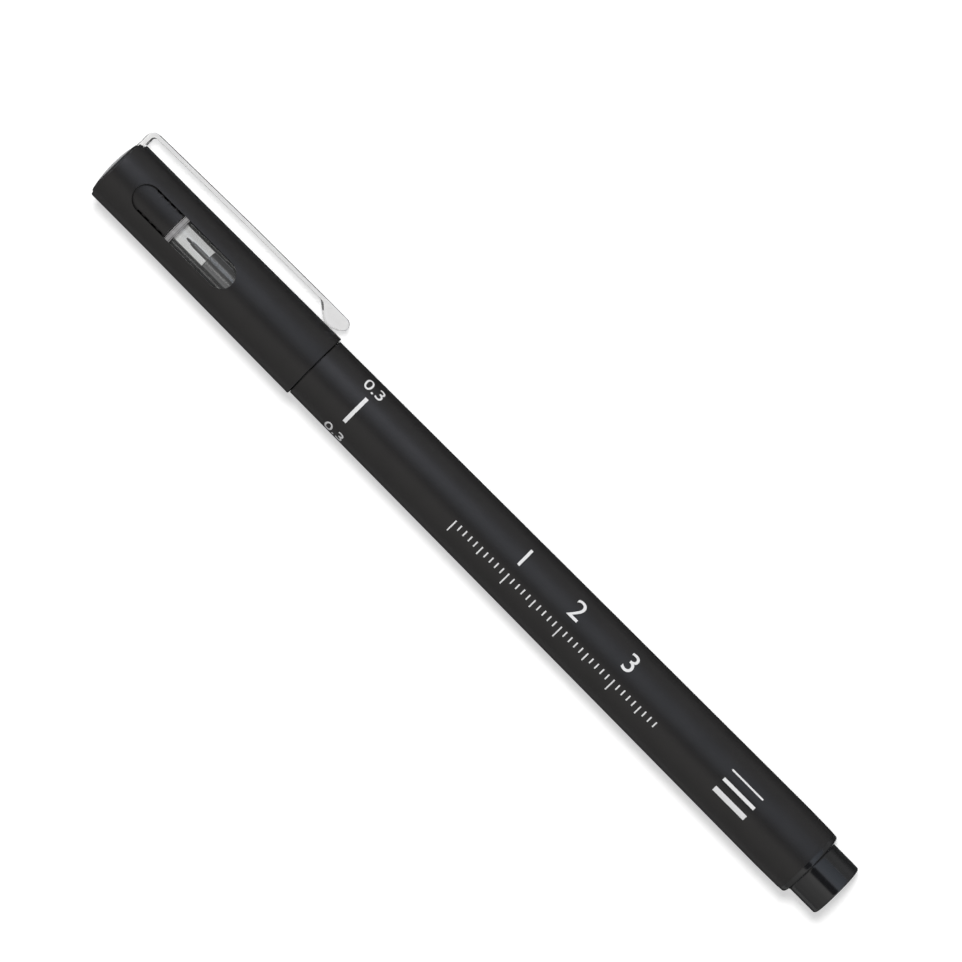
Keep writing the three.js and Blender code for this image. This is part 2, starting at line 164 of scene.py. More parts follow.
class SignPenLight(bpy.types.PropertyGroup):
    """Levels of the studio."""

    key_watts: power_setting("Key", "Power of the soft key lamp", 12.0)
    key_size: length_setting("Key size", "Width of the soft key lamp", 0.2)
    key_through_clip: FloatProperty(
        name="Key through the clip", description="Share of the key that the clip doesn't block",
        default=0.44, min=0, max=1, subtype="FACTOR",
    )
    sheen_watts: power_setting("Sheen", "Power of the low lamp on the matte parts", 1.35)
    low_fill_watts: power_setting("Low fill", "Power of the nose's lamp on the far side", 4.6)
    high_fill_watts: power_setting("High fill", "Power of the nose's lamp on the clip's side", 2.6)
    fill_level: FloatProperty(
        name="Fill", description="Brightness of the surroundings as a light", default=0.3, min=0
    )
    floor_glow: FloatProperty(
        name="Floor white", description="White added where the floor is seen, not as a light",
        default=0.42, min=0, max=1,
    )
    seen_through: FloatProperty(
        name="Seen through", description="Brightness of the surroundings through clear plastic",
        default=0.58, min=0, max=1,
    )
    camera_distance: length_setting("Camera distance", "From the pen's axis to the camera", 0.9)


def sizes():
    return bpy.context.scene.sign_pen_sizes


def colours():
    return bpy.context.scene.sign_pen_colours


def light():
    return bpy.context.scene.sign_pen_light


# Profiles and meshes in the pen's own frame


def quarter(steps):
    """Angles from nothing to a quarter turn."""
    return [math.radians(90 * step / steps) for step in range(steps + 1)]


def rounded(corners, closed=True, steps=5):
    """Profile through (along, radius, rounding) corners, each with an arc of that rounding."""
    points = []
    last = len(corners) - 1
    for index, (along, radius, size) in enumerate(corners):
        here = Vector((along, radius))
        if size <= 0 or (not closed and index in (0, last)):
            points.append((along, radius))
            continue
        before = (Vector(corners[index - 1][:2]) - here).normalized()
        after = (Vector(corners[(index + 1) % len(corners)][:2]) - here).normalized()
        half = before.angle(after) / 2
        reach = size / math.tan(half)
        centre = here + (before + after).normalized() * (size / math.sin(half))
        first = here + before * reach - centre
        final = here + after * reach - centre
        start = math.atan2(first.y, first.x)
        turn = (math.atan2(final.y, final.x) - start + math.pi) % math.tau - math.pi
        for step in range(steps + 1):
            angle = start + turn * step / steps
            points.append((centre.x + size * math.cos(angle), centre.y + size * math.sin(angle)))
    return points


def lathe(profile, closed=True, sides=None):
    """Mesh turned about the axis. An open profile starts and ends on the axis."""
    sides = sides or sizes().sides
    mesh = bmesh.new()
    rings = []
    for along, radius in profile:
        if radius < 1e-6:
            rings.append([mesh.verts.new((along, 0, 0))])
            continue
        ring = []
        for side in range(sides):
            angle = math.tau * side / sides
            ring.append(mesh.verts.new((along, radius * math.cos(angle), radius * math.sin(angle))))
        rings.append(ring)
    pairs = list(zip(rings, rings[1:]))
    if closed:
        pairs.append((rings[-1], rings[0]))
    for near, far in pairs:
        for side in range(sides):
            following = (side + 1) % sides
            if len(near) == 1 and len(far) == 1:
                continue
            if len(near) == 1:
                mesh.faces.new((near[0], far[following], far[side]))
            elif len(far) == 1:
                mesh.faces.new((near[side], near[following], far[0]))
            else:
                mesh.faces.new((near[side], near[following], far[following], far[side]))
    bmesh.ops.recalc_face_normals(mesh, faces=mesh.faces)
    return mesh


def loft(rings):
    """Closed mesh through equal rings, its first and last ring filled."""
    mesh = bmesh.new()
    made = [[mesh.verts.new(point) for point in ring] for ring in rings]
    count = len(made[0])
    for near, far in zip(made, made[1:]):
        for index in range(count):
            following = (index + 1) % count
            mesh.faces.new((near[index], near[following], far[following], far[index]))
    mesh.faces.new(made[0])
    mesh.faces.new(made[-1])
    bmesh.ops.recalc_face_normals(mesh, faces=mesh.faces)
    return mesh


def block(low, high, rounding):
    """Box with its edges rounded."""
    mesh = bmesh.new()
    bmesh.ops.create_cube(mesh, size=1)
    low, high = Vector(low), Vector(high)
    for vertex in mesh.verts:
        vertex.co = [low[i] + (vertex.co[i] + 0.5) * (high[i] - low[i]) for i in range(3)]
    bmesh.ops.bevel(
        mesh, geom=list(mesh.edges), offset=rounding, segments=4, profile=0.5, affect="EDGES"
    )
    return mesh


def joined(mesh, other):
    """The mesh with the other one added, which is used up."""
    data = bpy.data.meshes.new("other")
    other.to_mesh(data)
    other.free()
    mesh.from_mesh(data)
    bpy.data.meshes.remove(data)
    return mesh


def to_object(mesh, name):
    """A new object in the scene that holds the mesh, which is used up."""
    data = bpy.data.meshes.new(name)
    mesh.to_mesh(data)
    mesh.free()
    made = bpy.data.objects.new(name, data)
    bpy.context.scene.collection.objects.link(made)
    return made


def flattened(source):
    """The object with its modifiers turned to plain mesh, as a new mesh object."""
    graph = bpy.context.evaluated_depsgraph_get()
    name = source.name
    data = bpy.data.meshes.new_from_object(source.evaluated_get(graph))
    source.modifiers.clear()
    bpy.data.objects.remove(source)
    data.name = name
    made = bpy.data.objects.new(name, data)
    bpy.context.scene.collection.objects.link(made)
    return made


def carve(piece, cutters):
    """Takes the cutters out of the piece."""
    for cutter in cutters:
        cut = piece.modifiers.new("cut", "BOOLEAN")
        cut.operation = "DIFFERENCE"
        cut.solver = "EXACT"
        cut.object = cutter
    made = flattened(piece)
    for cutter in cutters:
        bpy.data.objects.remove(cutter)
    return made


def finish(piece, body, material, replaced=(), sharp=32):
    """Places a mesh from the pen's own frame, shades it, and hangs it on its CAD body."""
    data = piece.data
    data.transform(TO_ROW)
    data.materials.clear()
    data.materials.append(material)
    data.polygons.foreach_set("material_index", [0] * len(data.polygons))
    data.polygons.foreach_set("use_smooth", [True] * len(data.polygons))
    data.set_sharp_from_angle(angle=math.radians(sharp))
    data.update()
    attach(piece, body)
    if replaced:
        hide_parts(*replaced)
    return piece


# Finishes

PLASTIC_IOR, FILM_IOR = 1.49, 1.45


class Finish:
    """A node-based material on Object coordinates, with small helpers to wire it. Constants that
    aren't plain colour and roughness come by the names of the shader's sockets."""

    def __init__(self, name, colour, roughness, **constants):
        self.material = bpy.data.materials.new(name)
        self.material.use_nodes = True
        self.material.diffuse_color = (*colour, 1)
        self.tree = self.material.node_tree
        self.shader = self.tree.nodes["Principled BSDF"]
        self.shader.inputs["Base Color"].default_value = (*colour, 1)
        self.shader.inputs["Roughness"].default_value = roughness
        for socket, value in constants.items():
            self.shader.inputs[socket.replace("_", " ")].default_value = value
        self.colour = colour
        self.place = self.node("ShaderNodeTexCoord").outputs["Object"]

    def node(self, kind, **settings):
        made = self.tree.nodes.new(kind)
        for key, value in settings.items():
            setattr(made, key, value)
        return made

    def link(self, source, target):
        self.tree.links.new(source, target)

    def noise(self, grain, detail=3.0, stretch=None):
        """Noise whose features are about grain metres across."""
        made = self.node("ShaderNodeTexNoise")
        made.inputs["Scale"].default_value = 1 / grain
        made.inputs["Detail"].default_value = detail
        place = self.place
        if stretch:
            turn = self.node("ShaderNodeMapping")
            turn.inputs["Scale"].default_value = stretch
            self.link(place, turn.inputs["Vector"])
            place = turn.outputs["Vector"]
        self.link(place, made.inputs["Vector"])
        return made.outputs["Fac"]

    def ranged(self, value, low, high, source=(0.3, 0.7)):
        made = self.node("ShaderNodeMapRange")
        made.inputs["From Min"].default_value = source[0]
        made.inputs["From Max"].default_value = source[1]
        made.inputs["To Min"].default_value = low
        made.inputs["To Max"].default_value = high
        self.link(value, made.inputs["Value"])
        return made.outputs["Result"]

    def vary_colour(self, value, spread):
        """Lets the base colour run from darker to lighter with the value."""
        mix = self.node("ShaderNodeMix", data_type="RGBA")
        mix.inputs["A"].default_value = (*[c * (1 - spread) for c in self.colour], 1)
        mix.inputs["B"].default_value = (*[min(1, c * (1 + spread)) for c in self.colour], 1)
        self.link(value, mix.inputs["Factor"])
        self.link(mix.outputs["Result"], self.shader.inputs["Base Color"])

    def bump(self, value, depth, strength=1.0):
        """Bump of a height in metres."""
        made = self.node("ShaderNodeBump")
        made.inputs["Strength"].default_value = strength
        made.inputs["Distance"].default_value = depth
        self.link(value, made.inputs["Height"])
        previous = self.shader.inputs["Normal"]
        if previous.is_linked:
            self.link(previous.links[0].from_socket, made.inputs["Normal"])
        self.link(made.outputs["Normal"], previous)


def matte_plastic():
    """Fine matte moulded plastic with a soft rubbed grain."""
    made = Finish("matte_black_plastic", tuple(colours().matte), 0.42, Specular_IOR_Level=0.42)
    grain = made.noise(0.06 * MM, 4)
    cloud = made.noise(3.5 * MM, 2)
    made.vary_colour(made.ranged(cloud, 0, 1), 0.10)
    made.link(made.ranged(grain, 0.38, 0.46), made.shader.inputs["Roughness"])
    made.bump(grain, 0.004 * MM, 0.55)
    return made.material


def gloss_plastic():
    """Polished moulded plastic with faint flow marks."""
    made = Finish("gloss_black_plastic", tuple(colours().gloss), 0.14, Specular_IOR_Level=0.56)
    flow = made.noise(2.2 * MM, 2, (0.35, 1, 1))
    fine = made.noise(0.12 * MM, 3)
    made.vary_colour(made.ranged(flow, 0, 1), 0.08)
    made.link(made.ranged(fine, 0.11, 0.19), made.shader.inputs["Roughness"])
    made.bump(flow, 0.0015 * MM, 0.3)
    return made.material


def crown_plastic():
    """Half-gloss moulded plastic of the crown and its stem."""
    made = Finish("crown_black_plastic", tuple(colours().crown), 0.36)
    fine = made.noise(0.09 * MM, 3)
    made.vary_colour(made.ranged(made.noise(2.5 * MM, 2), 0, 1), 0.08)
    made.link(made.ranged(fine, 0.32, 0.42), made.shader.inputs["Roughness"])
    made.bump(fine, 0.003 * MM, 0.4)
    return made.material


def see_through(name, colour, transmission, cloud, spread):
    """Clear moulded plastic whose colour varies a little with a noise's grain in millimetres,
    detail and stretch. Returns the finish and the noise's value."""
    made = Finish(name, tuple(colour), 0.0, Transmission_Weight=transmission, IOR=PLASTIC_IOR)
    grain, detail, stretch = cloud
    value = made.noise(grain * MM, detail, stretch)
    made.vary_colour(made.ranged(value, 0, 1), spread)
    return made, value


def clear_plastic():
    """Clear moulded plastic of the clip, faintly wavy."""
    cloud = (2.4, 1, (0.3, 1, 1))
    return see_through("clear_plastic", colours().clear, 1, cloud, 0.012)[0].material


def tube_plastic():
    """Inside of the inner tube: clear moulded plastic."""
    cloud = (1.8, 2, (0.5, 1, 1))
    return see_through("tube_clear_plastic", colours().tube, 1, cloud, 0.01)[0].material


def hazy_plastic():
    """Outside of the inner tube: clear moulded plastic, a little milky."""
    cloud = (1.8, 2, (0.5, 1, 1))
    made, value = see_through("hazy_clear_plastic", colours().tube, 0.94, cloud, 0.01)
    made.link(made.ranged(value, 0.932, 0.948), made.shader.inputs["Transmission Weight"])
    return made.material


def flange_plastic():
    """End of the inner tube, where its plastic is thickest; its grey is painted shade."""
    cloud = (1.1, 2, None)
    return see_through("flange_clear_plastic", colours().flange, 0.95, cloud, 0.03)[0].material


def drawn_steel():
    """Drawn tube with fine lines along it."""
    made = Finish("drawn_steel", tuple(colours().steel), 0.4, Metallic=1)
    lines = made.noise(0.04 * MM, 3, (0.06, 1, 1))
    made.vary_colour(made.ranged(lines, 0, 1), 0.12)
    made.link(made.ranged(lines, 0.34, 0.48), made.shader.inputs["Roughness"])
    made.bump(lines, 0.001 * MM, 0.4)
    return made.material


def point_plastic():
    """Ink-stained writing point."""
    made = Finish("point_plastic", (0.016, 0.015, 0.016), 0.5)
    stain = made.noise(0.2 * MM, 3)
    made.vary_colour(made.ranged(stain, 0, 1), 0.35)
    made.link(made.ranged(stain, 0.4, 0.6), made.shader.inputs["Roughness"])
    made.bump(stain, 0.002 * MM, 0.5)
    return made.material


def inked_fibre():
    """Bonded fibre rod, soaked with ink, its fibres along the pen."""
    made = Finish("inked_fibre", (0.009, 0.009, 0.011), 0.85)
    fibres = made.noise(0.12 * MM, 4, (0.05, 1, 1))
    made.vary_colour(made.ranged(fibres, 0, 1), 0.4)
    made.link(made.ranged(fibres, 0.7, 0.95), made.shader.inputs["Roughness"])
    made.bump(fibres, 0.03 * MM, 0.8)
    return made.material


def clear_film():
    """Thin clear film round the ink rod, lightly wrinkled."""
    made = Finish("clear_film", (0.85, 0.85, 0.86), 0.12, Transmission_Weight=1, IOR=FILM_IOR)
    wrinkle = made.noise(1.2 * MM, 3, (0.3, 1, 1))
    made.link(made.ranged(wrinkle, 0.08, 0.2), made.shader.inputs["Roughness"])
    made.bump(wrinkle, 0.02 * MM, 0.6)
    return made.material


def printed_ink():
    """Opaque pad-printed white."""
    made = Finish("printed_white", tuple(colours().ink), 0.5)
    speck = made.noise(0.1 * MM, 3)
    made.vary_colour(made.ranged(speck, 0, 1), 0.04)
    made.link(made.ranged(speck, 0.42, 0.58), made.shader.inputs["Roughness"])
    made.bump(speck, 0.002 * MM, 0.4)
    return made.material


MATERIALS = {}


def material(maker):
    """The material that a maker makes, made once."""
    if maker not in MATERIALS:
        MATERIALS[maker] = maker()
    return MATERIALS[maker]


# Repeats


def repeated(name, shape, paint, count, offset, stretched=(1.0, 1.0)):
    """Geometry Nodes: count copies of a mesh along an offset, painted and flattened to one plain
    mesh. Every fifth and every tenth copy is stretched across by the two factors."""
    tree = bpy.data.node_groups.new(name + "_tree", "GeometryNodeTree")
    face = tree.interface
    face.new_socket("Geometry", in_out="OUTPUT", socket_type="NodeSocketGeometry")
    face.new_socket("Geometry", in_out="INPUT", socket_type="NodeSocketGeometry")
    wanted = {
        "Count": ("NodeSocketInt", count),
        "Offset": ("NodeSocketVector", offset),
        "Middle": ("NodeSocketFloat", stretched[0]),
        "Long": ("NodeSocketFloat", stretched[1]),
    }
    keys = {}
    for label, (kind, value) in wanted.items():
        keys[label] = face.new_socket(label, in_out="INPUT", socket_type=kind).identifier
    nodes, link = tree.nodes, tree.links.new
    start = nodes.new("NodeGroupInput")
    end = nodes.new("NodeGroupOutput")
    line = nodes.new("GeometryNodeMeshLine")
    line.mode = "OFFSET"
    link(start.outputs["Count"], line.inputs["Count"])
    link(start.outputs["Offset"], line.inputs["Offset"])
    place = nodes.new("GeometryNodeInstanceOnPoints")
    link(line.outputs["Mesh"], place.inputs["Points"])
    link(start.outputs["Geometry"], place.inputs["Instance"])
    index = nodes.new("GeometryNodeInputIndex")
    factor = None
    for step, label in ((5, "Middle"), (10, "Long")):
        rest = nodes.new("ShaderNodeMath")
        rest.operation = "MODULO"
        rest.inputs[1].default_value = step
        link(index.outputs["Index"], rest.inputs[0])
        hit = nodes.new("FunctionNodeCompare")
        hit.data_type = "FLOAT"
        hit.operation = "LESS_THAN"
        hit.inputs["B"].default_value = 0.5
        link(rest.outputs["Value"], hit.inputs["A"])
        switch = nodes.new("GeometryNodeSwitch")
        switch.input_type = "FLOAT"
        link(hit.outputs["Result"], switch.inputs["Switch"])
        if factor:
            link(factor, switch.inputs["False"])
        else:
            switch.inputs["False"].default_value = 1
        link(start.outputs[label], switch.inputs["True"])
        factor = switch.outputs["Output"]
    scale = nodes.new("ShaderNodeCombineXYZ")
    scale.inputs["X"].default_value = 1
    scale.inputs["Z"].default_value = 1
    link(factor, scale.inputs["Y"])
    link(scale.outputs["Vector"], place.inputs["Scale"])
    real = nodes.new("GeometryNodeRealizeInstances")
    link(place.outputs["Instances"], real.inputs["Geometry"])
    painted = nodes.new("GeometryNodeSetMaterial")
    painted.inputs["Material"].default_value = paint
    link(real.outputs["Geometry"], painted.inputs["Geometry"])
    link(painted.outputs["Geometry"], end.inputs["Geometry"])
    made = to_object(shape, name)
    maker = made.modifiers.new("repeat", "NODES")
    maker.node_group = tree
    for label, (kind, value) in wanted.items():
        maker[keys[label]] = value
    return flattened(made)


# Prints on the barrel

PRINT_STRIP = 0.15

def barrel_radius(along):
    share = (along - BARREL_FROM) / (BARREL_BAND_FROM - BARREL_FROM)
    return BARREL_FRONT + (BARREL_REAR - BARREL_FRONT) * share


def wrapped(mesh, along, angle):
    """Wraps a flat mesh (x along the pen, y towards the clip, millimetres) on the barrel, centred
    at a place along it and an angle in degrees from the window side towards the clip, and gives
    it the ink's thickness. It is cut into narrow strips first, so that it bends evenly."""
    heights = [vertex.co.y for vertex in mesh.verts]
    cut = math.floor(min(heights) / PRINT_STRIP) * PRINT_STRIP
    while cut < max(heights):
        every = list(mesh.verts) + list(mesh.edges) + list(mesh.faces)
        bmesh.ops.bisect_plane(mesh, geom=every, plane_co=(0, cut, 0), plane_no=(0, 1, 0))
        cut += PRINT_STRIP
    bottom = list(mesh.faces)
    raised = bmesh.ops.extrude_face_region(mesh, geom=bottom)["geom"]
    top = {item for item in raised if isinstance(item, bmesh.types.BMVert)}
    thick = sizes().ink_height / MM
    for vertex in mesh.verts:
        place = along + vertex.co.x
        radius = barrel_radius(place)
        turn = math.radians(angle) + vertex.co.y / radius
        radius += thick if vertex in top else -thick / 2
        vertex.co = (place, radius * math.sin(turn), radius * math.cos(turn))
    bmesh.ops.remove_doubles(mesh, verts=mesh.verts, dist=1e-5)
    bmesh.ops.recalc_face_normals(mesh, faces=mesh.faces)
    return mesh


def lettering(text, height, width=None):
    """Flat mesh of plain numerals, centred, of a height and at most a width in millimetres."""
    curve = bpy.data.curves.new("numerals", "FONT")
    curve.body = text
    curve.resolution_u = 6
    curve.fill_mode = "FRONT"
    holder = bpy.data.objects.new("numerals", curve)
    bpy.context.scene.collection.objects.link(holder)
    graph = bpy.context.evaluated_depsgraph_get()
    data = bpy.data.meshes.new_from_object(holder.evaluated_get(graph))
    bpy.data.objects.remove(holder)
    mesh = bmesh.new()
    mesh.from_mesh(data)
    bpy.data.meshes.remove(data)
    bmesh.ops.remove_doubles(mesh, verts=mesh.verts, dist=1e-4)
    xs = [vertex.co.x for vertex in mesh.verts]
    ys = [vertex.co.y for vertex in mesh.verts]
    scale = height / (max(ys) - min(ys))
    wide = width / (max(xs) - min(xs)) if width else scale
    for vertex in mesh.verts:
        vertex.co.x = (vertex.co.x - (max(xs) + min(xs)) / 2) * wide
        vertex.co.y = (vertex.co.y - (max(ys) + min(ys)) / 2) * scale
        vertex.co.z = 0
    return mesh


def strip(length, height, centre=(0, 0)):
    """Flat rectangle, length along the pen."""
    mesh = bmesh.new()
    corners = []
    for x, y in ((-1, -1), (1, -1), (1, 1), (-1, 1)):
        corners.append(mesh.verts.new((centre[0] + x * length / 2, centre[1] + y * height / 2, 0)))
    mesh.faces.new(corners)
    return mesh


# Pieces


def window_cutter():
    """Round-ended cutter through both walls of the cap, flared to a rounding at its surface."""
    rounding = sizes().window_rounding / MM
    steps, outside = 40, 8
    outline = []
    for centre, start in ((WINDOW_TO - WINDOW_HALF, -90), (WINDOW_FROM + WINDOW_HALF, 90)):
        for step in range(steps + 1):
            angle = math.radians(start + 180 * step / steps)
            outline.append((centre, math.cos(angle), math.sin(angle)))

    def ring(offset, depth, side, height=None):
        points = []
        for centre, across, up in outline:
            place = centre + (WINDOW_HALF + offset) * across
            y = (WINDOW_HALF + offset) * up
            reach = height if height else math.sqrt(cap_radius(place) ** 2 - y ** 2) - depth
            points.append((place, y, side * reach))
        return points

    rings = []
    for side in (1, -1):
        flare = []
        for turn in quarter(7):
            wider, deeper = rounding * (1 - math.cos(turn)), rounding * (1 - math.sin(turn))
            flare.append(ring(wider, deeper, side))
        flare.append(ring(rounding * 1.1, -0.35 * rounding, side))
        flare.append(ring(rounding * 1.1, 0, side, outside))
        rings += reversed(flare) if side == 1 else flare
    return to_object(loft(rings), "window_cutter")


def cap_radius(along):
    """Radius of the cap's outside: straight at the crown, then widening to the mouth."""
    share = (along - CAP_STRAIGHT_TO) / (CAP_MOUTH - CAP_STRAIGHT_TO)
    return CAP_CROWN + (CAP_MOUTH_OUTER - CAP_CROWN) * min(1, max(0, share))


def pocket_cutter(depth, name):
    """Space for the clip's tab and hook in the crown."""
    room = 0.15
    low, high = (-1, HOOK_Y - room, -ROOT_HALF - room), (depth, 6.2, ROOT_HALF + room)
    return to_object(block(low, high, 0.18), name)


def cap_shell():
    """The cap's tube with its window, the clip's notch and the groove for the neck's bead."""
    edge = sizes().edge_rounding / MM
    outer = [(CAP_START, HEAD_SEAT, 0.06), (CAP_START, CAP_CROWN, edge)]
    first, last, steps = CAP_START + 0.6, 26, 44
    for step in range(1, steps):
        place = first + (last - first) * step / steps
        outer.append((place, cap_radius(place), 0))
    inner = [
        (CAP_MOUTH, CAP_MOUTH_OUTER, edge),
        (CAP_MOUTH, CAP_MOUTH_BORE, 0.22),
        (BEAD_AT + 0.8, CAP_MOUTH_BORE, 0.3),
        (BEAD_AT + 0.4, CAP_MOUTH_BORE + 0.1, 0.3),
        (BEAD_AT - 0.4, CAP_MOUTH_BORE + 0.1, 0.3),
        (BEAD_AT - 0.8, CAP_MOUTH_BORE, 0.3),
        (COLLAR_FROM - 0.05, CAP_MOUTH_BORE, 0),
        (COLLAR_FROM - 0.05, CAP_BORE, 0.08),
        (HEAD_FLOOR + 0.05, CAP_BORE, 0.08),
        (HEAD_FLOOR + 0.05, HEAD_SEAT, 0),
    ]
    piece = to_object(lathe(rounded(outer + inner)), "cap_body")
    piece = carve(piece, [window_cutter(), pocket_cutter(1.55, "notch_cutter")])
    finish(piece, "cap", material(matte_plastic), ["cap_shell"], 26)


def crown_plug():
    """The domed crown with the clip's pocket, its stem, and the grooved pads in the windows."""
    dome, edge, meet = 18.3, 0.35, 167
    reach = CROWN_HEAD - edge
    profile = []
    for step in range(17):
        radius = reach * step / 16
        profile.append((dome - math.sqrt(dome ** 2 - radius ** 2), radius))
    low = profile[-1][0] + edge
    for step in range(1, 9):
        angle = math.radians(meet - (meet - 90) * step / 8)
        profile.append((low + edge * math.cos(angle), reach + edge * math.sin(angle)))
    tail = rounded([
        (1.0, CROWN_HEAD, 0),
        (HEAD_FLOOR, CROWN_HEAD, 0.06),
        (HEAD_FLOOR, CAP_BORE - 0.05, 0.05),
        (SHANK_END, CAP_BORE - 0.05, 0.15),
        (SHANK_END, STEM, 0.12),
        (STEM_END, STEM, 0.1),
        (STEM_END, 0, 0),
    ], closed=False)
    piece = to_object(lathe(profile + tail[1:], closed=False), "crown")
    piece = carve(piece, [pocket_cutter(2.9, "pocket_cutter")])
    finish(piece, "cap", material(crown_plastic), ["crown_plug"], 30)
    pads = to_object(both_windows(pad()), "stem_pads")
    finish(pads, "cap", material(matte_plastic), (), 40)
    offset = (RIB_PITCH, 0, 0)
    ribs = repeated("stem_ribs", both_windows(rib()), material(matte_plastic), RIB_COUNT, offset)
    ribs.data.transform(Matrix.Translation((RIB_FIRST, 0, 0)))
    finish(ribs, "cap", material(matte_plastic), (), 40)


def both_windows(shape):
    """The shape, and its copy turned half round the pen."""
    turned = shape.copy()
    bmesh.ops.transform(turned, matrix=Matrix.Rotation(math.pi, 4, "X"), verts=turned.verts)
    return joined(shape, turned)


def pad_half(along):
    """Half width of a pad: round at the crown's end, full at both ends, narrower between."""
    middle = WINDOW_FROM + WINDOW_HALF
    if along < middle:
        return PAD_CREST * math.sqrt(max(0.0001, 1 - ((middle - along) / PAD_REACH) ** 2))
    grooves_from = RIB_FIRST - RIB_PITCH + RIB_HALF
    grooves_to = STEM_END - PAD_TAIL
    slope = 0.16
    into = min(along - grooves_from, grooves_to - along) / slope
    share = min(1, max(0, into))
    return PAD_CREST + (PAD_GROOVE - PAD_CREST) * share * share * (3 - 2 * share)


def pad(rounding=0.02, steps=14):
    """A pad of the stem in its window, its upper edges rounded."""
    low, high = WINDOW_FROM + WINDOW_HALF - PAD_REACH, STEM_END
    places = [low + PAD_REACH * (1 - math.cos(turn)) for turn in quarter(24)]
    places += [places[-1] + (high - places[-1]) * k / 110 for k in range(1, 111)]
    places = [place for place in places if place < high - 0.05] + [high - 0.05, high]
    rings = []
    for place in places:
        half = pad_half(place)
        ends = min(place - low, high - place) + 0.004
        drop = 0
        if ends < rounding:
            drop = rounding - math.sqrt(rounding ** 2 - (rounding - ends) ** 2)
        edge = min(rounding, half * 0.8)
        columns = []
        for turn in quarter(4):
            columns.append((half - edge * (1 - math.cos(turn)), edge * (1 - math.sin(turn))))
        across = [(-y, sink) for y, sink in columns]
        across += [((half - edge) * (2 * step / steps - 1), 0) for step in range(1, steps)]
        across += reversed(columns)
        top = [(place, y, math.sqrt((PAD_TOP - drop) ** 2 - y * y) - sink) for y, sink in across]
        rings.append([(place, -half, PAD_FOOT), *top, (place, half, PAD_FOOT)])
    return loft(rings)


def rib(edge=0.13):
    """One rounded rib on each side of a pad, from its top down its side."""
    both = bmesh.new()
    levels = [(1.05, 0.06, 0), (1.3, 0.015, 0), (1.5, -0.02, 0), (1.65, -0.03, 0)]
    for turn in quarter(5):
        levels.append((PAD_CREST - edge * (1 - math.sin(turn)), 0, edge * (1 - math.cos(turn))))
    for side in (1, -1):
        rings = []
        for across, sink, inset in levels:
            top = math.sqrt(PAD_TOP ** 2 - across ** 2) - sink - inset
            half = RIB_HALF - inset * 0.6
            ring = [(-half, side * across, PAD_FOOT)]
            for step in range(9):
                turn = math.radians(180 * step / 8)
                wide = math.copysign(abs(math.cos(turn)) ** 0.7, math.cos(turn))
                ring.append((-half * wide, side * across, top - edge + edge * math.sin(turn)))
            ring.append((half, side * across, PAD_FOOT))
            rings.append(ring)
        joined(both, loft(rings))
    return both


def inner_cap():
    """The clear blind tube with its flange and collar. Its outside is a little milky, its inside
    clear, and the end with the flange painted grey as painted shade."""
    shaded_end_to = INNER_CAP_FROM + 1.0
    profile = rounded([
        (INNER_CAP_FROM, 0, 0),
        (INNER_CAP_FROM, FLANGE, 0.07),
        (FLANGE_TO, FLANGE, 0.03),
        (FLANGE_TO, TUBE_OUTER, 0.03),
        (shaded_end_to, TUBE_OUTER, 0),
        (COLLAR_FROM, TUBE_OUTER, 0.15),
        (COLLAR_FROM, TUBE_COLLAR, 0.12),
        (INNER_CAP_TO, TUBE_COLLAR, 0.12),
        (INNER_CAP_TO, TUBE_MOUTH, 0.12),
        (NOSE_END - 0.6, TUBE_BORE, 0.3),
        (BORE_FROM, TUBE_BORE, 0.03),
        (BORE_FROM, 0, 0),
    ], closed=False, steps=7)
    piece = to_object(lathe(profile, closed=False), "inner_tube")
    # The third slot, for the end with the flange, holds the painted shade
    outside, inside, grey = 0, 1, 2
    parts = []
    for face in piece.data.polygons:
        place, y, z = face.center
        if math.hypot(y, z) < (TUBE_OUTER + TUBE_BORE) / 2 and place > BORE_FROM + 0.05:
            parts.append(inside)
        else:
            parts.append(grey if place < shaded_end_to - 0.1 else outside)
    finish(piece, "cap", material(hazy_plastic), ["inner_cap"], 40)
    piece.data.materials.append(material(tube_plastic))
    piece.data.materials.append(material(flange_plastic))
    piece.data.polygons.foreach_set("material_index", parts)


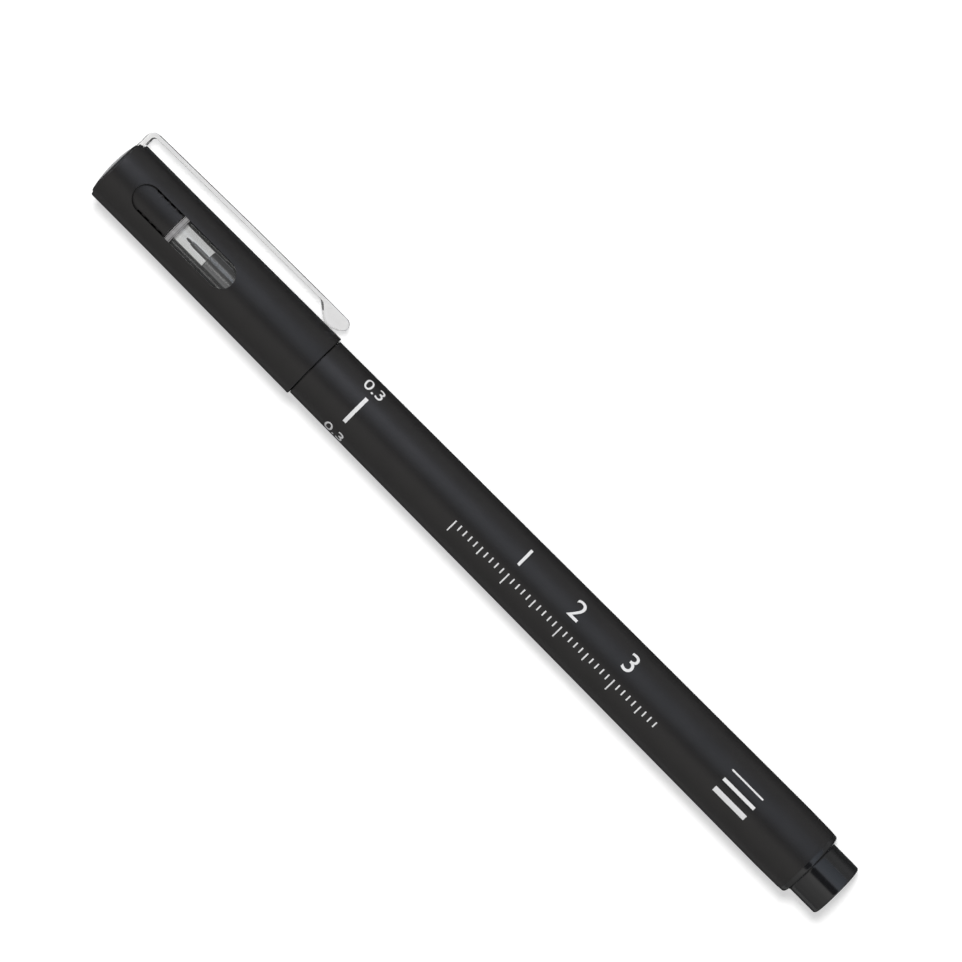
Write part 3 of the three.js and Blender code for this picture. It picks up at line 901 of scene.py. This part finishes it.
def writing_section():
    """The glossy section with its nose, cone, neck and bead, the metal tube and the point."""
    shoulder = BARREL_FROM - 0.05
    profile = rounded([
        (NOSE_FACE, WICK_BORE, 0.03),
        (NOSE_FACE, NOSE, 0.16),
        (NOSE_END, NOSE, 0.6),
        (CONE_FROM, CONE_FOOT, 0.4),
        (CONE_TO, CONE_HEAD, 0.5),
        (CONE_TO + 0.27, SHOULDER, 0.2),
        (NECK_FROM, NECK, 0.3),
        (BEAD_AT - 0.4, NECK, 0.25),
        (BEAD_AT - 0.1, BEAD, 0.2),
        (BEAD_AT + 0.1, BEAD, 0.2),
        (BEAD_AT + 0.4, NECK, 0.25),
        (shoulder, NECK, 0.08),
        (shoulder, SPIGOT, 0),
        (SPIGOT_END, SPIGOT, 0.2),
        (SPIGOT_END, SPIGOT_BORE, 0.1),
        (CORE_TO, SPIGOT_BORE, 0.2),
        (CORE_TO, CORE_BORE, 0.08),
        (SLEEVE_END + 0.05, CORE_BORE, 0),
        (SLEEVE_END + 0.05, WICK_BORE, 0),
    ])
    piece = to_object(lathe(profile), "writing_section")
    finish(piece, "pen", material(gloss_plastic), ["front_section"])
    profile = rounded([
        (SLEEVE_FROM, SLEEVE_BORE, 0.02),
        (SLEEVE_FROM, SLEEVE_FRONT, 0.02),
        (SLEEVE_FROM + 0.6, SLEEVE, 0.3),
        (SLEEVE_END, SLEEVE, 0.03),
        (SLEEVE_END, SLEEVE_BORE, 0),
    ])
    piece = to_object(lathe(profile, sides=48), "point_tube")
    finish(piece, "pen", material(drawn_steel), ["nib_sleeve"])
    profile = rounded([
        (TIP_FROM, 0, 0),
        (TIP_FROM, TIP_POINT, 0.07),
        (TIP_FROM + 0.475, TIP_ROOT, 0.5),
        (SLEEVE_FROM, TIP_STEM, 0),
        (SLEEVE_END, TIP_STEM, 0),
        (SLEEVE_END, 0, 0),
    ], closed=False)
    piece = to_object(lathe(profile, closed=False, sides=40), "writing_point")
    finish(piece, "pen", material(point_plastic), ["nib_tip"], 45)


def barrel():
    """The tapered tube, and the tail plug with its thin flange and stub."""
    edge = sizes().edge_rounding / MM
    bore_step = PLUG_SPIGOT_END - 0.5
    profile = rounded([
        (BARREL_FROM, BARREL_BORE, 0.1),
        (BARREL_FROM, BARREL_FRONT, edge),
        (BARREL_BAND_FROM, BARREL_REAR, 8.0),
        (BARREL_TO - 0.4, BARREL_END + 0.01, 0.7),
        (BARREL_TO, BARREL_END - 0.03, 0.015),
        (BARREL_TO, BARREL_TAIL_BORE, 0.05),
        (bore_step, BARREL_TAIL_BORE, 0),
        (bore_step, BARREL_TAIL_BORE - 0.12, 0),
        (SPIGOT_END, BARREL_BORE, 0),
    ])
    piece = to_object(lathe(profile), "barrel_tube")
    finish(piece, "pen", material(matte_plastic), ["barrel"])
    flange_from, hollow_to = BARREL_TO + 0.01, STUB_TO - 1.5
    profile = rounded([
        (hollow_to, 0, 0),
        (hollow_to, PLUG_HOLLOW, 0.3),
        (PLUG_SPIGOT_END, PLUG_HOLLOW, 0.1),
        (PLUG_SPIGOT_END, PLUG_SPIGOT, 0.2),
        (flange_from, PLUG_SPIGOT, 0),
        (flange_from, PLUG_FLANGE, 0.01),
        (STUB_FROM, PLUG_FLANGE - 0.045, 0.42),
        (STUB_FROM, STUB, 0.42),
        (STUB_TO, STUB - 0.01, 0.4),
        (STUB_TO, 0, 0),
    ], closed=False, steps=7)
    piece = to_object(lathe(profile, closed=False), "tail_plug")
    finish(piece, "pen", material(gloss_plastic), ["end_plug"])


def clip_top(along):
    """Height of the clip's outer face over the axis."""
    knots = ((CLIP_ROOT_X, CLIP_ROOT_Y), (CLIP_MIDDLE_X, CLIP_MIDDLE_Y), (BUMP_FROM, CLIP_TIP_Y))
    height = CLIP_TIP_Y
    for (x0, y0), (x1, y1) in zip(knots, knots[1:]):
        if along <= x1:
            height = y0 + (y1 - y0) * max(0, along - x0) / (x1 - x0)
            break
    over = along - (CLIP_TIP - TIP_ROUNDING)
    if over > 0:
        height += math.sqrt(max(0, TIP_ROUNDING ** 2 - over ** 2)) - TIP_ROUNDING
    return height


def bump_bottom(along, across):
    """Height of the bump's underside: a smooth curve through its side view, crowned across."""
    if along <= BUMP[0][0]:
        return math.inf
    last = len(BUMP) - 1
    index = max(k for k in range(last) if along >= BUMP[k][0])
    (x0, y0), (x1, y1) = BUMP[index], BUMP[index + 1]

    def slope(k):
        low, high = BUMP[max(0, k - 1)], BUMP[min(last, k + 1)]
        return (high[1] - low[1]) / (high[0] - low[0])

    t = min(1, (along - x0) / (x1 - x0))
    rise = (x1 - x0) * (slope(index) * t * (1 - t) ** 2 - slope(index + 1) * t * t * (1 - t))
    height = y0 + (y1 - y0) * t * t * (3 - 2 * t) + rise
    return height + BUMP_CROWN * abs(across / TIP_HALF) ** 2.2


def softer_least(a, b, soft=0.05):
    """The smaller of two heights, with the corner between them rounded."""
    if a - b > 4 * soft:
        return b
    if b - a > 4 * soft:
        return a
    return -soft * math.log(math.exp(-a / soft) + math.exp(-b / soft))


def clip_station(outer, inward, thick, half, along=None):
    """Ring across the clip: outer is the point (along, height) on its outer face and inward the
    unit direction to its inner face."""
    columns = 30

    def side(edge):
        """Places across the clip, each with its depth in the rounded edge."""
        corner = [(edge * (1 - math.cos(turn)), edge * (1 - math.sin(turn))) for turn in quarter(5)]
        across = [(-half + inset, drop) for inset, drop in corner]
        across += [((half - edge) * (2 * k / columns - 1), 0) for k in range(1, columns)]
        return across + [(half - inset, drop) for inset, drop in reversed(corner)]

    edge = min(CLIP_EDGE, half * 0.9, thick * 0.3)
    ring = []
    for z, drop in side(min(CLIP_EDGE, half * 0.9, thick * 0.55)):
        ring.append((outer[0] + inward[0] * drop, outer[1] + inward[1] * drop, z))
    for z, drop in reversed(side(edge)):
        depth = thick
        if along is not None and along > BUMP_FROM - 1.5:
            floor = outer[1] - thick
            depth = max(2 * edge, outer[1] - softer_least(floor, bump_bottom(along, z)))
        depth -= drop
        ring.append((outer[0] + inward[0] * depth, outer[1] + inward[1] * depth, z))
    return ring


def clip():
    """The clear clip: its hooked foot, tab, arm and bump, as rings from the hook to the tip."""
    rings = []

    def corner(centre, radius, start, steps, thicks, skipped=0):
        """Rings round a quarter turn, from one thickness to the other."""
        for step in range(skipped, steps + 1):
            angle = math.radians(start + 90 * step / steps)
            out = (-math.cos(angle), math.sin(angle))
            outer = (centre[0] + radius * out[0], centre[1] + radius * out[1])
            thick = thicks[0] + (thicks[1] - thicks[0]) * step / steps
            rings.append(clip_station(outer, (-out[0], -out[1]), thick, ROOT_HALF))

    hook_corner = (CLIP_TAB_FRONT + HOOK_CORNER, HOOK_Y + HOOK_CORNER)
    root_corner = (CLIP_TAB_FRONT + CLIP_CORNER, CLIP_ROOT_Y - CLIP_CORNER)
    for place in (HOOK_END, HOOK_END - 0.06, 2.2, 1.8, hook_corner[0]):
        less = 0.06 if place == HOOK_END else 0
        outer, thick = (place, HOOK_Y + less), CLIP_THICK - 2 * less
        rings.append(clip_station(outer, (0, 1), thick, ROOT_HALF - less))
    corner(hook_corner, HOOK_CORNER, -90, 8, (CLIP_THICK, TAB_THICK), 1)
    for step in range(1, 6):
        height = hook_corner[1] + (root_corner[1] - hook_corner[1]) * step / 6
        rings.append(clip_station((CLIP_TAB_FRONT, height), (1, 0), TAB_THICK, ROOT_HALF))
    corner(root_corner, CLIP_CORNER, 0, 14, (TAB_THICK, CLIP_THICK))

    arm_from, arm_to, round_from, round_to = 2.2, 31, CLIP_TIP - TIP_HALF, 38.03
    places = [arm_from + (arm_to - arm_from) * step / 48 for step in range(49)]
    places += [arm_to + (round_from - arm_to) * step / 70 for step in range(1, 71)]
    stations = []
    for place in places:
        share = (place - CLIP_ROOT_X) / (CLIP_TIP - CLIP_ROOT_X)
        stations.append((place, ROOT_HALF + (TIP_HALF - ROOT_HALF) * share))
    last = math.asin((round_to - round_from) / TIP_HALF)
    for step in range(1, 27):
        angle = last * math.sin(math.pi / 2 * step / 26)
        stations.append((round_from + TIP_HALF * math.sin(angle), TIP_HALF * math.cos(angle)))
    for place, half in stations:
        rings.append(clip_station((place, clip_top(place)), (0, -1), CLIP_THICK, half, place))
    piece = to_object(loft(rings), "pocket_clip")
    finish(piece, "clip", material(clear_plastic), ["clip"], 50)


def prints():
    """The line width twice beside its bar, the rule with its numerals, and three line samples."""
    high = sizes().numeral_height / MM
    pitch = sizes().rule_pitch / MM
    rule_from, tenth, ticks, beside, samples = 66.6, 10, 39, 46.45, 119.1
    pieces = {
        "width_numeral_a": wrapped(lettering("0.3", high, 3.25), beside, 48.2),
        "width_numeral_b": wrapped(lettering("0.3", high, 3.25), beside, -61.6),
        "width_bar": wrapped(strip(0.57, 4.52), 46.6, -1.6),
    }
    for number in (1, 2, 3):
        place = rule_from + number * tenth * pitch
        pieces[f"rule_numeral_{number}"] = wrapped(lettering(str(number), 3.0), place, 25.4)
    for number, (thick, height) in enumerate(((0.25, 1.75), (0.5, 0.05), (0.8, -1.75))):
        line = strip(5.8, thick, (0, height))
        pieces[f"line_sample_{number + 1}"] = wrapped(line, samples, 0.2)
    for name, mesh in pieces.items():
        finish(to_object(mesh, name), "pen", material(printed_ink), (), 40)
    mark = strip(0.2, 0.9, (0, -0.45))
    row = repeated("rule_ticks", mark, material(printed_ink), ticks, (pitch, 0, 0), (1.5, 2.2))
    mesh = bmesh.new()
    mesh.from_mesh(row.data)
    bpy.data.objects.remove(row)
    middle = (ticks - 1) / 2 * pitch
    bmesh.ops.translate(mesh, verts=mesh.verts, vec=(-middle, 0, 0))
    mesh = wrapped(mesh, rule_from + middle, -11.1)
    finish(to_object(mesh, "rule_ticks"), "pen", material(printed_ink), (), 40)


def paint_node(name, made):
    """Gives a CAD node its material."""
    data = frame["nodes"][name].data
    data.materials.clear()
    data.materials.append(made)


# Studio

# The camera's lean towards the clip and the pen's turn in the picture, in degrees; the place along
# the axis and the height towards the clip that it looks at, and the width of its view there, in
# millimetres
CAMERA_TILT, CAMERA_TURN, LOOKS_AT, LOOKS_BESIDE, VIEW_WIDTH = 1.4, 45.14, 65.14, 4.99, 129.34
SENSOR = 36

# Directions to the lamps
KEY_TOWARDS = (-0.15, 0.78, 1.0)
SHEEN_TOWARDS = (-0.423, 0.851, 0.311)
LOW_FILL_TOWARDS = TO_WINDOW * 0.35 - TO_CLIP * 0.94
HIGH_FILL_TOWARDS = TO_WINDOW * 0.5 + TO_CLIP * 0.87

# Cards beside the pen, which glow and show only in reflections: their two edges across the pen in
# millimetres,
#  their levels, and the places across the pen between which the first level runs to the second. The
#  low levels near the pen are painted shadow
CARDS = {
    "card_clip_side": (1.5, 400.0, (0.07, 0.46), (6.0, 12.0)),
    "card_far_side": (-400.0, -8.0, (0.34, 0.03), (-40.0, -17.0)),
}

# Surroundings that reflections show: angle in degrees from the window's side towards the clip,
# level, and how cool the light is there
SURROUNDINGS = (
    (-180, 0.20, 0), (-115, 0.26, 0), (-92, 0.44, -0.2), (-60, 0.64, -0.2), (-21, 0.93, -0.2),
    (-17, 0.02, 0.5), (5, 0.02, 1), (8, 0.95, 1), (20, 0.92, 1.6), (38, 0.76, 1.6),
    (62, 0.56, 1.6), (180, 0.30, 0),
)


def make_camera():
    """Camera over the window, a little to the clip's side, turned so that the pen runs down to
    the right."""
    tilt = math.radians(CAMERA_TILT)
    over = TO_WINDOW * math.cos(tilt) + TO_CLIP * math.sin(tilt)
    side = TO_CLIP * math.cos(tilt) - TO_WINDOW * math.sin(tilt)
    centre = TO_ROW @ Vector((LOOKS_AT, 0, 0)) + side * LOOKS_BESIDE * MM
    turn = math.radians(CAMERA_TURN)
    right = ALONG * math.cos(turn) + side * math.sin(turn)
    up = side * math.cos(turn) - ALONG * math.sin(turn)
    distance = light().camera_distance
    data = bpy.data.cameras.new("camera")
    data.sensor_width = SENSOR
    data.lens = SENSOR * distance / (VIEW_WIDTH * MM)
    data.clip_start, data.clip_end = 0.05, 20
    camera = bpy.data.objects.new("camera", data)
    bpy.context.scene.collection.objects.link(camera)
    turned = Matrix((right, up, over)).transposed().to_4x4()
    camera.matrix_world = Matrix.Translation(centre + over * distance) @ turned
    bpy.context.scene.camera = camera


def combined(tree, operation, first, second):
    """Socket of a math node on two sockets or numbers."""
    made = tree.nodes.new("ShaderNodeMath")
    made.operation = operation
    for socket, value in zip(made.inputs, (first, second)):
        if isinstance(value, (int, float)):
            socket.default_value = value
        else:
            tree.links.new(value, socket)
    return made.outputs["Value"]


def seen_rays(tree):
    """Three sockets: 1 for camera rays, 1 for glossy and transmission rays that no matt surface
    has scattered, and 1 for rays that have been mirrored at least once."""
    path = tree.nodes.new("ShaderNodeLightPath").outputs
    clean = combined(tree, "LESS_THAN", path["Diffuse Depth"], 0.5)
    other = combined(tree, "MAXIMUM", path["Is Glossy Ray"], path["Is Transmission Ray"])
    mirrored = combined(tree, "GREATER_THAN", path["Glossy Depth"], 0.5)
    return path["Is Camera Ray"], combined(tree, "MULTIPLY", clean, other), mirrored


def glow(made):
    """Turns off a finish's own shine and makes its emission white."""
    made.shader.inputs["Specular IOR Level"].default_value = 0
    made.shader.inputs["Emission Color"].default_value = (1, 1, 1, 1)


def make_floor():
    """Pale floor that stays white where it is seen and keeps the pen's shadow. In reflections and
    through clear plastic its glow is a painted pool of light, brightest near the pen.
    """
    mesh = bmesh.new()
    bmesh.ops.create_circle(mesh, cap_ends=True, segments=96, radius=3)
    floor = to_object(mesh, "floor")
    made = Finish("floor_white", tuple(colours().floor), 0.7)
    fine = made.noise(2 * MM, 2)
    made.vary_colour(made.ranged(fine, 0, 1), 0.004)
    glow(made)
    camera, other, mirrored = seen_rays(made.tree)
    # Reflections and clear plastic see the floor's glow stronger near the pen and weaker farther
    # out: a painted pool of light
    far = made.node("ShaderNodeVectorMath", operation="LENGTH")
    made.link(made.place, far.inputs[0])
    near = made.ranged(far.outputs["Value"], 1.2, 0.24, (0.09, 0.30))
    seen = combined(made.tree, "MAXIMUM", camera, combined(made.tree, "MULTIPLY", other, near))
    strength = combined(made.tree, "MULTIPLY", seen, light().floor_glow)
    made.link(strength, made.shader.inputs["Emission Strength"])
    floor.data.materials.append(made.material)


def lamp(name, towards, distance, size, power, mirrored):
    """Round soft lamp that shines at the pen. Only reflections may show it, where mirrored."""
    data = bpy.data.lights.new(name, "AREA")
    data.shape = "DISK"
    data.size = size
    data.energy = power
    made = bpy.data.objects.new(name, data)
    bpy.context.scene.collection.objects.link(made)
    towards = Vector(towards).normalized()
    made.location = towards * distance
    made.rotation_mode = "QUATERNION"
    made.rotation_quaternion = towards.to_track_quat("Z", "Y")
    made.visible_glossy = mirrored
    made.visible_transmission = False
    made.visible_camera = False
    return made


def make_lamps():
    """Broad soft light from the clip's side, as two lamps in one place, so that the clear clip can
    stand in the way of only one, a low sheen lamp, and a lamp on each side of the nose."""
    level = light()
    through, size = level.key_through_clip, level.key_size
    lamp("key", KEY_TOWARDS, 1.2, size, level.key_watts * through, False)
    lamp("key_through_clip", KEY_TOWARDS, 1.2, size, level.key_watts * (1 - through), False)
    sheen = lamp("sheen", SHEEN_TOWARDS, 1.0, 0.35, level.sheen_watts, True)
    sheen.data.color = (0.92, 0.90, 1.0)
    lamp("nose_fill_low", LOW_FILL_TOWARDS, 0.6, 1.1, level.low_fill_watts, True)
    lamp("nose_fill_high", HIGH_FILL_TOWARDS, 0.6, 0.8, level.high_fill_watts, True)


def linked(names, state):
    """Collection of pieces for a lamp's light linking."""
    made = bpy.data.collections.new("lamp_pieces")
    for name in names:
        made.objects.link(bpy.data.objects[name])
    for item in made.collection_objects:
        item.light_linking.link_state = state
    return made


def link_lamps():
    """Takes the clip out of one key lamp's shadows, keeps the sheen on the matte pieces, and lets
    the nose's lamps light only the writing section, through the cap."""
    bpy.data.objects["key"].light_linking.blocker_collection = linked(["pocket_clip"], "EXCLUDE")
    matte = ["cap_body", "barrel_tube", "stem_pads", "stem_ribs"]
    bpy.data.objects["sheen"].light_linking.receiver_collection = linked(matte, "INCLUDE")
    for name in ("nose_fill_low", "nose_fill_high"):
        fill = bpy.data.objects[name].light_linking
        fill.receiver_collection = linked(["writing_section"], "INCLUDE")
        fill.blocker_collection = linked(["cap_body", "inner_tube"], "EXCLUDE")


def make_cards():
    """Cards that lie on the floor on both sides of the pen, glow, and show only in reflections: a
    painted reflection, darker near the pen as painted shadow, so that its edges read."""
    for name, (low, high, levels, places) in CARDS.items():
        mesh = bmesh.new()
        corners = ((-0.3, low * MM), (0.3, low * MM), (0.3, high * MM), (-0.3, high * MM))
        mesh.faces.new([mesh.verts.new((x, y, 0.02 * MM)) for x, y in corners])
        card = to_object(mesh, name)
        made = Finish(name, (0, 0, 0), 1)
        glow(made)
        split = made.node("ShaderNodeSeparateXYZ")
        made.link(made.place, split.inputs[0])
        places = [place * MM for place in places]
        # Glow level, lower near the pen: painted shadow that reflections show
        level = made.ranged(split.outputs["Y"], *levels, places)
        made.link(level, made.shader.inputs["Emission Strength"])
        mirrored = seen_rays(made.tree)[2]
        shown = made.node("ShaderNodeMixShader")
        made.link(mirrored, shown.inputs["Fac"])
        made.link(made.node("ShaderNodeBsdfTransparent").outputs["BSDF"], shown.inputs[1])
        made.link(made.shader.outputs["BSDF"], shown.inputs[2])
        made.link(shown.outputs["Shader"], made.tree.nodes["Material Output"].inputs["Surface"])
        card.data.materials.append(made.material)
        card.visible_camera = False
        card.visible_diffuse = False
        card.visible_shadow = False


def make_world():
    """White behind the pen, a level fill light, and surroundings that reflections show: light on
    both sides with a dark gap overhead."""
    world = bpy.data.worlds.new("studio")
    bpy.context.scene.world = world
    world.use_nodes = True
    tree = world.node_tree
    tree.nodes.clear()
    link = tree.links.new
    direction = tree.nodes.new("ShaderNodeTexCoord").outputs["Generated"]

    def towards(axis):
        made = tree.nodes.new("ShaderNodeVectorMath")
        made.operation = "DOT_PRODUCT"
        made.inputs[1].default_value = axis
        link(direction, made.inputs[0])
        return made.outputs["Value"]

    def background(colour, strength=1.0):
        made = tree.nodes.new("ShaderNodeBackground")
        made.inputs["Strength"].default_value = strength
        if isinstance(colour, tuple):
            made.inputs["Color"].default_value = colour
        else:
            link(colour, made.inputs["Color"])
        return made.outputs["Background"]

    def mixed(factor, first, second):
        made = tree.nodes.new("ShaderNodeMixShader")
        link(factor, made.inputs["Fac"])
        link(first, made.inputs[1])
        link(second, made.inputs[2])
        return made.outputs["Shader"]

    angle = combined(tree, "ARCTAN2", towards(TO_CLIP), towards(TO_WINDOW))
    share = combined(tree, "DIVIDE", combined(tree, "ADD", angle, math.pi), math.tau)
    around = tree.nodes.new("ShaderNodeValToRGB")
    link(share, around.inputs["Fac"])
    ramp = around.color_ramp
    ramp.interpolation = "EASE"
    while len(ramp.elements) < len(SURROUNDINGS):
        ramp.elements.new(0.5)
    for element, (angle, level, cool) in zip(ramp.elements, SURROUNDINGS):
        element.position = (angle + 180) / 360
        element.color = (level * (1 - 0.06 * cool), level, level * (1 + 0.10 * cool), 1)

    white = (1, 1, 1, 1)
    camera, other, mirrored = seen_rays(tree)
    fill, behind = light().fill_level, light().seen_through
    shown = mixed(other, background(white, fill), background(white, behind))
    shown = mixed(mirrored, shown, background(around.outputs["Color"]))
    shown = mixed(camera, shown, background(white))
    link(shown, tree.nodes.new("ShaderNodeOutputWorld").inputs["Surface"])


# Operators


class SIGNPEN_OT_stage(bpy.types.Operator):
    """Makes the camera, the floor, the cards, the lamps and the surroundings"""

    bl_idname = "sign_pen.stage"
    bl_label = "Stage"

    def execute(self, context):
        context.scene.view_settings.view_transform = "Standard"
        make_camera()
        make_floor()
        make_cards()
        make_lamps()
        make_world()
        return {"FINISHED"}


class SIGNPEN_OT_cap(bpy.types.Operator):
    """Makes the cap's tube, its crown with the ribbed stem, and the clear inner tube"""

    bl_idname = "sign_pen.cap"
    bl_label = "Cap"

    def execute(self, context):
        cap_shell()
        crown_plug()
        inner_cap()
        return {"FINISHED"}


class SIGNPEN_OT_clip(bpy.types.Operator):
    """Makes the clear pocket clip"""

    bl_idname = "sign_pen.clip"
    bl_label = "Clip"

    def execute(self, context):
        clip()
        return {"FINISHED"}


class SIGNPEN_OT_body(bpy.types.Operator):
    """Makes the writing section, its tube and point, the barrel and the tail plug"""

    bl_idname = "sign_pen.body"
    bl_label = "Body"

    def execute(self, context):
        writing_section()
        barrel()
        return {"FINISHED"}


class SIGNPEN_OT_ink_parts(bpy.types.Operator):
    """Gives the wick, the ink rod and its film their finishes"""

    bl_idname = "sign_pen.ink_parts"
    bl_label = "Ink parts"

    def execute(self, context):
        paint_node("feed_wick", material(inked_fibre))
        paint_node("ink_reservoir", material(inked_fibre))
        paint_node("reservoir_film", material(clear_film))
        return {"FINISHED"}


class SIGNPEN_OT_prints(bpy.types.Operator):
    """Makes the printed numerals, bar, rule and line samples"""

    bl_idname = "sign_pen.prints"
    bl_label = "Prints"

    def execute(self, context):
        prints()
        return {"FINISHED"}


class SIGNPEN_OT_lamp_links(bpy.types.Operator):
    """Sets which pieces each lamp lights and which cast its shadow"""

    bl_idname = "sign_pen.lamp_links"
    bl_label = "Lamp links"

    def execute(self, context):
        link_lamps()
        return {"FINISHED"}


class SIGNPEN_PT_panel(bpy.types.Panel):
    """Lists the pen's operators and settings"""

    bl_idname = "SIGNPEN_PT_panel"
    bl_label = "Sign pen"
    bl_space_type = "VIEW_3D"
    bl_region_type = "UI"
    bl_category = "Sign pen"

    def draw(self, context):
        for operator in OPERATORS:
            self.layout.operator(operator.bl_idname)
        for group in (sizes(), colours(), light()):
            for key in group.__annotations__:
                self.layout.prop(group, key)


OPERATORS = (
    SIGNPEN_OT_stage,
    SIGNPEN_OT_cap,
    SIGNPEN_OT_clip,
    SIGNPEN_OT_body,
    SIGNPEN_OT_ink_parts,
    SIGNPEN_OT_prints,
    SIGNPEN_OT_lamp_links,
)
GROUPS = {
    "sign_pen_sizes": SignPenSizes,
    "sign_pen_colours": SignPenColours,
    "sign_pen_light": SignPenLight,
}


def register():
    for made in (*GROUPS.values(), *OPERATORS, SIGNPEN_PT_panel):
        bpy.utils.register_class(made)
    for name, group in GROUPS.items():
        setattr(bpy.types.Scene, name, PointerProperty(type=group))


def unregister():
    for name in GROUPS:
        delattr(bpy.types.Scene, name)
    for made in reversed((*GROUPS.values(), *OPERATORS, SIGNPEN_PT_panel)):
        bpy.utils.unregister_class(made)


def main():
    register()
    bpy.ops.sign_pen.stage()
    bpy.ops.sign_pen.cap()
    bpy.ops.sign_pen.clip()
    bpy.ops.sign_pen.body()
    bpy.ops.sign_pen.ink_parts()
    bpy.ops.sign_pen.prints()
    bpy.ops.sign_pen.lamp_links()


if __name__ == "__main__":
    main()
